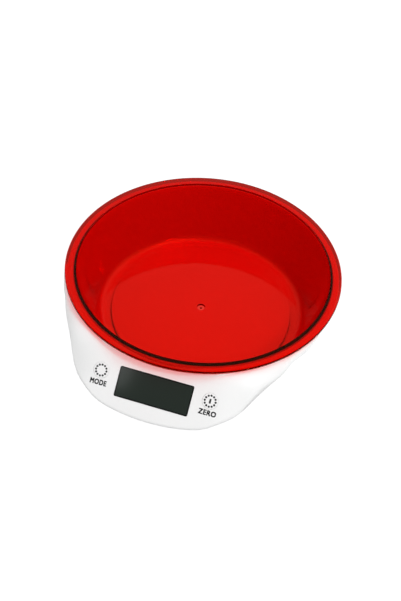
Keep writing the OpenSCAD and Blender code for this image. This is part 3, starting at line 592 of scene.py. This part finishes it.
def make_red_clear():
    material, shader = start_material(
        "red_clear", (1, 1, 1), Roughness=0.015, IOR=1.52, Transmission_Weight=1.0,
        Specular_Tint=RED_SHINE,
    )
    material.diffuse_color = RED_IN_VIEWPORT
    tree = material.node_tree
    output = tree.nodes["Material Output"]
    soak = tree.nodes.new("ShaderNodeVolumeAbsorption")
    soak.inputs["Color"].default_value = RED_DEPTH
    soak.inputs["Density"].default_value = RED_DENSITY
    tree.links.new(soak.outputs[0], output.inputs["Volume"])
    effect = place_group(material, moulded_skin, Peel_Scale=RIPPLE_SCALE)
    bump_from(material, shader, effect.outputs["Peel"], RIPPLE_DEPTH, RIPPLE_STRENGTH)
    path = tree.nodes.new("ShaderNodeLightPath")
    lighting = math_node(
        tree, "MAXIMUM", path.outputs["Is Shadow Ray"], path.outputs["Diffuse Depth"],
    )
    straight = tree.nodes.new("ShaderNodeBsdfTransparent")
    surface = choose_shader(tree, lighting, shader.outputs[0], straight.outputs[0])
    tree.links.new(surface, output.inputs["Surface"])
    return material


red_clear = make_red_clear()
print("bowl finish:", red_clear.name)

# %% [markdown]
# Behind the window sits a plain grey-green display that is switched off. The pane over it is
# dark and glossy, printed almost black round the edge. The lighter field is a soft box mask,
# worked out from the panel's own axes, so it stays put on the pane.

# %% Window finish
WINDOW_W = 50 * MM
WINDOW_H = 20 * MM
FIELD_EDGE = 0.7 * MM
FIELD_SOFT = 0.5 * MM
PANE_MEAN = (0.012, 0.016, 0.013)
PANE_BLACK = (0.006, 0.008, 0.007)
FIELD_GREY = (0.017, 0.024, 0.019)


def panel_coords(tree):
    turn = tree.nodes.new("ShaderNodeMapping")
    turn.vector_type = "TEXTURE"
    turn.inputs["Location"].default_value = panel_origin
    turn.inputs["Rotation"].default_value = (PANEL_TILT, 0, 0)
    tree.links.new(object_coords(tree), turn.inputs["Vector"])
    return turn.outputs["Vector"]


def edge_mask(tree, value, half):
    """1 inside the field, 0 in the border, for one direction."""
    edge = half - FIELD_EDGE
    mask = ramp(tree, math_node(tree, "ABSOLUTE", value), edge - FIELD_SOFT, edge, 1, 0)
    mask.node.interpolation_type = "SMOOTHSTEP"
    return mask


def make_window_dark():
    material, shader = start_material("window_dark", PANE_MEAN)
    tree = material.node_tree
    pane = split_axes(tree, panel_coords(tree))
    across = edge_mask(tree, pane["X"], WINDOW_W / 2)
    along = edge_mask(tree, pane["Y"], WINDOW_H / 2)
    field = math_node(tree, "MULTIPLY", across, along)
    tint(material, field, PANE_BLACK, FIELD_GREY, shader.inputs["Base Color"])
    effect = place_group(material, moulded_skin)
    spread(material, effect.outputs["Tone"], 0.09, 0.14, shader.inputs["Roughness"])
    return material


window_dark = make_window_dark()
print("window finish:", window_dark.name)

# %% [markdown]
# The inside is seen when the bowl and the platform come off or the battery door swings, so
# it gets real finishes too: a cast and milled aluminium load cell, plated steel for spider,
# screws and contacts, and the printed board.

# %% Metals
STAIN_SHADE = 0.82
LINES_SMOOTHER = 0.08
LINES_ROUGHER = 0.1
LINES_STRENGTH = 0.6


def metal(name, colour, roughness, depth, stretch, scale=2200):
    material, shader = start_material(name, colour, Metallic=1.0)
    effect = place_group(material, drawn_metal, Line_Scale=scale, Stretch=stretch)
    dull = tuple(c * STAIN_SHADE for c in colour)
    lines = effect.outputs["Lines"]
    tint(material, effect.outputs["Stain"], dull, colour, shader.inputs["Base Color"])
    smooth, rough = roughness - LINES_SMOOTHER, roughness + LINES_ROUGHER
    spread(material, lines, smooth, rough, shader.inputs["Roughness"])
    bump_from(material, shader, lines, depth, LINES_STRENGTH)
    return material


cell_aluminium = metal("cell_aluminium", (0.78, 0.79, 0.8), 0.36, 0.02 * MM, (0.03, 1, 1))
plated_steel = metal("plated_steel", (0.66, 0.67, 0.69), 0.28, 0.008 * MM, (1, 0.04, 1))
screw_steel = metal("screw_steel", (0.55, 0.56, 0.58), 0.3, 0.01 * MM, (1, 1, 0.1), 3000)
spring_steel = metal("spring_steel", (0.6, 0.61, 0.62), 0.25, 0.004 * MM, (1, 1, 1), 4000)
print("metals:", cell_aluminium.name, plated_steel.name, screw_steel.name, spring_steel.name)

# %% [markdown]
# The board is green solder mask over copper. A brick pattern on the panel's own axes stands
# for the tracks: thin lighter lines where the mask runs over copper. Each cell's sleeve
# changes colour near one end.

# %% Board, display glass, sealant and cells
TRACKS_PER_M = 240
TRACK_WIDTH = 0.035
TRACK_DEPTH = 0.03 * MM
TRACK_STRENGTH = 0.6
BAND_FROM = 8 * MM
BAND_SOFT = 0.3 * MM
SLEEVE_MEAN = (0.03, 0.05, 0.045)
SLEEVE_DARK = (0.02, 0.035, 0.03)
SLEEVE_BAND = (0.55, 0.4, 0.2)


def make_board_green():
    material, shader = start_material("board_green", (0.01, 0.13, 0.045), Roughness=0.3)
    tree = material.node_tree
    tracks = tree.nodes.new("ShaderNodeTexBrick")
    tracks.inputs["Scale"].default_value = TRACKS_PER_M
    tracks.inputs["Mortar Size"].default_value = TRACK_WIDTH
    tracks.inputs["Color1"].default_value = (0.008, 0.12, 0.04, 1)
    tracks.inputs["Color2"].default_value = (0.01, 0.14, 0.05, 1)
    tracks.inputs["Mortar"].default_value = (0.05, 0.24, 0.09, 1)
    tree.links.new(panel_coords(tree), tracks.inputs["Vector"])
    tree.links.new(tracks.outputs["Color"], shader.inputs["Base Color"])
    bump_from(material, shader, tracks.outputs["Fac"], TRACK_DEPTH, TRACK_STRENGTH)
    return material


def make_cell_sleeve():
    material, shader = start_material("cell_sleeve", SLEEVE_MEAN, Roughness=0.28)
    tree = material.node_tree
    place = split_axes(tree, object_coords(tree))
    band = ramp(tree, place["X"], BAND_FROM, BAND_FROM + BAND_SOFT, 0, 1)
    tint(material, band, SLEEVE_DARK, SLEEVE_BAND, shader.inputs["Base Color"])
    effect = place_group(material, moulded_skin, Peel_Scale=300)
    bump_from(material, shader, effect.outputs["Peel"], 0.01 * MM)
    return material


board_green = make_board_green()
cell_sleeve = make_cell_sleeve()
display_glass = moulded("display_glass", (0.32, 0.36, 0.31), 0.08, 0.001 * MM)
sealant = moulded("sealant", (0.75, 0.75, 0.73), 0.55, 0.12 * MM, 0.05, 260)
epoxy = moulded("epoxy", (0.012, 0.012, 0.012), 0.25, 0.04 * MM, 0.1, 300)
print("board and cells:", board_green.name, cell_sleeve.name, display_glass.name, epoxy.name)

# %% [markdown]
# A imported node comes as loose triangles. Its mesh is never changed, but modifiers may finish
# it: Weld joins the triangles, and Edge Split keeps real corners crisp while everything
# between them is shaded as one smooth surface. Weighted Normal comes last. It lets a large
# flat face keep its own direction right up to the small rounding beside it.

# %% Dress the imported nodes
FINISH = {
    "upper_housing": white_housing, "lower_housing": white_housing,
    "battery_door": white_housing, "load_spider": plated_steel,
    "spider_screws": screw_steel, "load_cell": cell_aluminium, "gauge_coating": sealant,
    "cell_bolts": screw_steel, "housing_screws": screw_steel,
    "display_window": window_dark, "lcd_glass": display_glass, "lcd_frame": milk_plastic,
    "zebra_strips": strip_rubber, "main_board": board_green, "board_chip": epoxy,
    "board_screws": screw_steel, "switch_bodies": black_plastic,
    "unit_button": white_cap, "unit_plunger": black_plastic,
    "tare_button": white_cap, "tare_plunger": black_plastic,
    "batteries": cell_sleeve, "battery_contacts": plated_steel,
    "battery_springs": spring_steel, "rubber_feet": grey_rubber,
    "cell_cable": sleeve_grey, "battery_cable": sleeve_grey,
}
WELD_REACH = 0.002 * MM
CORNER = math.radians(24)
FACE_WEIGHT = 80


def weigh_normals(piece):
    normals = piece.modifiers.new("normals", "WEIGHTED_NORMAL")
    normals.keep_sharp = True
    normals.weight = FACE_WEIGHT


def dress(name, material):
    node = nodes[name]
    node.data.materials.clear()
    node.data.materials.append(material)
    node.data.shade_smooth()
    weld = node.modifiers.new("weld", "WELD")
    weld.merge_threshold = WELD_REACH
    corners = node.modifiers.new("corners", "EDGE_SPLIT")
    corners.split_angle = CORNER
    corners.use_edge_sharp = False
    weigh_normals(node)


for name, material in FINISH.items():
    dress(name, material)
print("dressed", len(FINISH), "nodes")

# %% [markdown]
# Every new piece ends the same way: normals out, a smooth surface with its corners marked, a
# material and the body that it rides on.

# %% Helper that finishes a piece
SMOOTH_UP_TO = math.radians(32)


def finish_piece(name, shape, material, body, recalculate=True):
    if recalculate:
        bmesh.ops.recalc_face_normals(shape, faces=shape.faces)
    mesh = bpy.data.meshes.new(name)
    shape.to_mesh(mesh)
    shape.free()
    mesh.shade_smooth()
    mesh.set_sharp_from_angle(angle=SMOOTH_UP_TO)
    mesh.materials.append(material)
    piece = bpy.data.objects.new(name, mesh)
    scene.collection.objects.link(piece)
    weigh_normals(piece)
    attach(piece, body)
    print(name, "has", len(mesh.polygons), "faces")
    return piece


# %% [markdown]
# The bowl is a turned shape, so it is one profile spun about the axis. The profile holds only
# its true corners. A vertex bevel rounds each one by its own radius while the profile is
# still a wire, and the spin then makes clean rings with no seam. At the mouth the sloping
# wall ends in a short upright lip, which draws the dark line inside the rim. The underside
# stays a hair above the platform: two faces in one plane would cancel the clear plastic's
# surface.

# %% The red bowl
RIM_W = 6.5 * MM
RIM_T = 2.5 * MM
RIM_EDGE = 1.15 * MM
BOWL_WALL = 1.8 * MM
BOWL_DEPTH = 42 * MM
FLOOR_R = 73 * MM
WALL_TOP_IN = 1.7 * MM
LIP_IN = 1.5 * MM
MOUTH_EDGE = 0.3 * MM
LIP_EDGE = 0.7 * MM
FLOOR_EDGE = 3.4 * MM
BASE_EDGE = 4.6 * MM
UNDER_RIM_EDGE = 0.5 * MM
GATE_R = 3 * MM
GATE_DEEP = 0.9 * MM
GATE_TAPER = 0.3 * MM
GATE_EDGE = 0.15 * MM
GATE_FLOOR_EDGE = 0.5 * MM
NUB_R = 0.9 * MM
NUB_TAPER = 0.2 * MM
NUB_FOOT_EDGE = 0.1 * MM
NUB_TOP_EDGE = 0.3 * MM
NUB_BELOW_FLOOR = 0.1 * MM
AIR_FILM = 0.03 * MM
EDGE_STEPS = 8
SPIN_STEPS = 160
MERGE_REACH = 0.001 * MM


def wire_profile(corners):
    """A wire in the XZ plane, with each corner rounded as far as its number says."""
    shape = bmesh.new()
    points = [shape.verts.new((r, 0, z)) for r, z, _ in corners]
    for first, second in zip(points, points[1:]):
        shape.edges.new((first, second))
    for point, (_, _, cut) in zip(points, corners):
        if cut > 0:
            bmesh.ops.bevel(
                shape, geom=[point], offset=cut, offset_type="OFFSET", segments=EDGE_STEPS,
                profile=0.5, affect="VERTICES", material=-1,
            )
    return shape


def spin_about(shape, centre):
    bmesh.ops.spin(
        shape, geom=shape.verts[:] + shape.edges[:], cent=(0, 0, 0), axis=(0, 0, 1),
        angle=math.tau, steps=SPIN_STEPS, use_merge=True,
    )
    bmesh.ops.remove_doubles(shape, verts=shape.verts, dist=MERGE_REACH)
    bmesh.ops.translate(shape, verts=shape.verts, vec=centre)
    return shape


mouth_r = rim_r - RIM_W
rim_under_z = rim_z - RIM_T
bowl_floor_z = under_z + BOWL_WALL
base_z = under_z + AIR_FILM
draft = (mouth_r - WALL_TOP_IN - FLOOR_R) / (BOWL_DEPTH - RIM_T)
wall_level = BOWL_WALL * math.hypot(1, draft)
lip_r = mouth_r - LIP_IN
lip_z = bowl_floor_z + (lip_r - FLOOR_R) / draft
gate_z = bowl_floor_z - GATE_DEEP
nub_z = bowl_floor_z - NUB_BELOW_FLOOR


def outside_r(z):
    return FLOOR_R + (z - bowl_floor_z) * draft + wall_level


bowl_profile = [
    (0, base_z, 0),
    (outside_r(base_z), base_z, BASE_EDGE),
    (outside_r(rim_under_z), rim_under_z, UNDER_RIM_EDGE),
    (rim_r, rim_under_z, RIM_EDGE),
    (rim_r, rim_z, RIM_EDGE),
    (lip_r, rim_z, MOUTH_EDGE),
    (lip_r, lip_z, LIP_EDGE),
    (FLOOR_R, bowl_floor_z, FLOOR_EDGE),
    (GATE_R, bowl_floor_z, GATE_EDGE),
    (GATE_R - GATE_TAPER, gate_z, GATE_FLOOR_EDGE),
    (NUB_R, gate_z, NUB_FOOT_EDGE),
    (NUB_R - NUB_TAPER, nub_z, NUB_TOP_EDGE),
    (0, nub_z, 0),
]
bowl_shape = spin_about(wire_profile(bowl_profile), axis)
mixing_bowl = finish_piece("mixing_bowl", bowl_shape, red_clear, "bowl")
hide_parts("bowl")

# %% [markdown]
# The platform shows through the bowl's floor, so it gets a true turned edge that comes close
# to the well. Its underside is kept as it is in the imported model: a skirt, a ring and four
# straight ribs that stiffen the disc, and the pegs that hold it on the spider.

# %% The platform
PLATFORM_R = rim_r - 31.4 * MM
PLATFORM_T = 1.5 * MM
TOP_EDGE = 0.35 * MM
SKIRT_W = 2.5 * MM
SKIRT_H = 1.1 * MM
SKIRT_EDGE = 0.2 * MM
RIB_W = 1.2 * MM
RING_FROM = 54 * MM
CROSS_FROM = 14 * MM
CROSS_X = 4 * MM
PEG_R = 1.5 * MM
PEG_AT = 34 * MM
PEG_SIDES = 32
PEG_TURNS = (45, 135, 225, 315)

disc_z = under_z - PLATFORM_T
skirt_z = disc_z - SKIRT_H
platform_profile = [
    (0, disc_z, 0),
    (RING_FROM, disc_z, 0),
    (RING_FROM, skirt_z, 0),
    (RING_FROM + RIB_W, skirt_z, 0),
    (RING_FROM + RIB_W, disc_z, 0),
    (PLATFORM_R - SKIRT_W, disc_z, 0),
    (PLATFORM_R - SKIRT_W, skirt_z, 0),
    (PLATFORM_R, skirt_z, SKIRT_EDGE),
    (PLATFORM_R, under_z, TOP_EDGE),
    (0, under_z, 0),
]
disc = spin_about(wire_profile(platform_profile), axis)
for turn in PEG_TURNS:
    place = Matrix.Translation(axis) @ Matrix.Rotation(math.radians(turn), 4, "Z")
    bmesh.ops.create_cone(
        disc, cap_ends=True, segments=PEG_SIDES, radius1=PEG_R, radius2=PEG_R,
        depth=PLATFORM_T,
        matrix=place @ Matrix.Translation((PEG_AT, 0, disc_z - PLATFORM_T / 2)),
    )
rib_l = RING_FROM - CROSS_FROM
for x in (-CROSS_X, CROSS_X):
    for side in (-1, 1):
        middle = axis + Vector((x, side * (CROSS_FROM + rib_l / 2), disc_z - SKIRT_H / 2))
        size = Matrix.Diagonal((RIB_W, rib_l, SKIRT_H, 1))
        bmesh.ops.create_cube(disc, size=1, matrix=Matrix.Translation(middle) @ size)
platform_disc = finish_piece("platform_disc", disc, white_platform, "platform")
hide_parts("platform_cover")

# %% [markdown]
# Each button carries a printed ring of twelve dots, and the right one a bar in the middle.
# Print has next to no thickness, so each mark is a very thin disc that stands on the cap and
# moves with it. One dot is made and turned round the ring.

# %% Printed marks on the buttons
BUTTON_X = 37 * MM
BUTTON_UP = 3.7 * MM
RING_R = 3.6 * MM
DOT_R = 0.7 * MM
DOT_SIDES = 20
DOTS = 12
BAR_W = 1.2 * MM
BAR_H = 3.0 * MM
BAR_EDGE = 0.2 * MM
INK_T = 0.02 * MM
INK_SUNK = 0.005 * MM


def on_panel(shape, x, y):
    place = panel @ Matrix.Translation((x, y, INK_T / 2 - INK_SUNK))
    bmesh.ops.transform(shape, matrix=place, verts=shape.verts)


def add_bar(shape):
    size = Matrix.Diagonal((BAR_W, BAR_H, INK_T, 1))
    bar = bmesh.ops.create_cube(shape, size=1, matrix=size)
    edges = {edge for corner in bar["verts"] for edge in corner.link_edges}
    upright = [e for e in edges if abs(e.verts[0].co.z - e.verts[1].co.z) > INK_T / 2]
    bmesh.ops.bevel(
        shape, geom=upright, offset=BAR_EDGE, segments=4, profile=0.5, affect="EDGES",
        material=-1,
    )


def dotted_ring(with_bar):
    shape = bmesh.new()
    for i in range(DOTS):
        turn = Matrix.Rotation(math.tau * i / DOTS, 4, "Z")
        bmesh.ops.create_cone(
            shape, cap_ends=True, segments=DOT_SIDES, radius1=DOT_R, radius2=DOT_R,
            depth=INK_T, matrix=turn @ Matrix.Translation((0, RING_R, 0)),
        )
    if with_bar:
        add_bar(shape)
    return shape


for name, body, side, with_bar in (
    ("unit_button_print", "unit_button", -1, False),
    ("tare_button_print", "tare_button", 1, True),
):
    marks = dotted_ring(with_bar)
    on_panel(marks, side * BUTTON_X, BUTTON_UP)
    finish_piece(name, marks, ink_black, body)

# %% [markdown]
# Under each button the housing carries a short printed word. Lettering is easiest as a text
# object turned into a mesh. The words are generic names of a scale's functions, in a plain
# built-in typeface. It has no bold cut, so each word is laid down four times, every copy
# shifted by a hair. The copies overlap, and each keeps the outward normals it came with.

# %% Printed words on the housing
WORD_H = 3.6 * MM
LEFT_WORD_W = 11.2 * MM
LEFT_WORD_DOWN = 4.2 * MM
RIGHT_WORD_W = 11.7 * MM
RIGHT_WORD_DOWN = 3.9 * MM
BOLD = 0.34 * MM
LETTER_SPACE = 1.12
CURVE_STEPS = 4
FONT_MERGE = 0.0005


def embolden(shape):
    """Four copies, each shifted to a corner, thicken every stroke evenly."""
    letters = shape.verts[:] + shape.edges[:] + shape.faces[:]
    for side in (Vector((BOLD, 0, 0)), Vector((BOLD, BOLD, 0)), Vector((0, BOLD, 0))):
        copy = bmesh.ops.duplicate(shape, geom=letters)["geom"]
        moved = [part for part in copy if isinstance(part, bmesh.types.BMVert)]
        bmesh.ops.translate(shape, verts=moved, vec=side)
    bmesh.ops.translate(shape, verts=shape.verts, vec=(-BOLD / 2, -BOLD / 2, 0))


def letter_mesh(word):
    """The word as a solid mesh around the origin, with its span in each direction."""
    data = bpy.data.curves.new(word, "FONT")
    data.body = word
    data.space_character = LETTER_SPACE
    data.extrude = 0.5
    data.resolution_u = CURVE_STEPS
    text = bpy.data.objects.new(word, data)
    scene.collection.objects.link(text)
    bpy.context.view_layer.update()
    evaluated = text.evaluated_get(bpy.context.evaluated_depsgraph_get())
    shape = bmesh.new()
    shape.from_mesh(evaluated.to_mesh())
    evaluated.to_mesh_clear()
    bpy.data.objects.remove(text)
    bmesh.ops.remove_doubles(shape, verts=shape.verts, dist=FONT_MERGE)
    low = Vector([min(v.co[i] for v in shape.verts) for i in range(3)])
    high = Vector([max(v.co[i] for v in shape.verts) for i in range(3)])
    bmesh.ops.translate(shape, verts=shape.verts, vec=-(low + high) / 2)
    return shape, high - low


def print_word(name, word, width, x, y):
    shape, span = letter_mesh(word)
    scale = ((width - BOLD) / span.x, (WORD_H - BOLD) / span.y, INK_T / span.z)
    bmesh.ops.scale(shape, vec=scale, verts=shape.verts)
    embolden(shape)
    on_panel(shape, x, y)
    finish_piece(name, shape, ink_black, "housing", recalculate=False)


print_word("left_word", "MODE", LEFT_WORD_W, -BUTTON_X, -LEFT_WORD_DOWN)
print_word("right_word", "ZERO", RIGHT_WORD_W, BUTTON_X, -RIGHT_WORD_DOWN)

# %% [markdown]
# Colours are shown as they are written: the view transform is Standard.

# %% Colour handling
scene.view_settings.view_transform = "Standard"
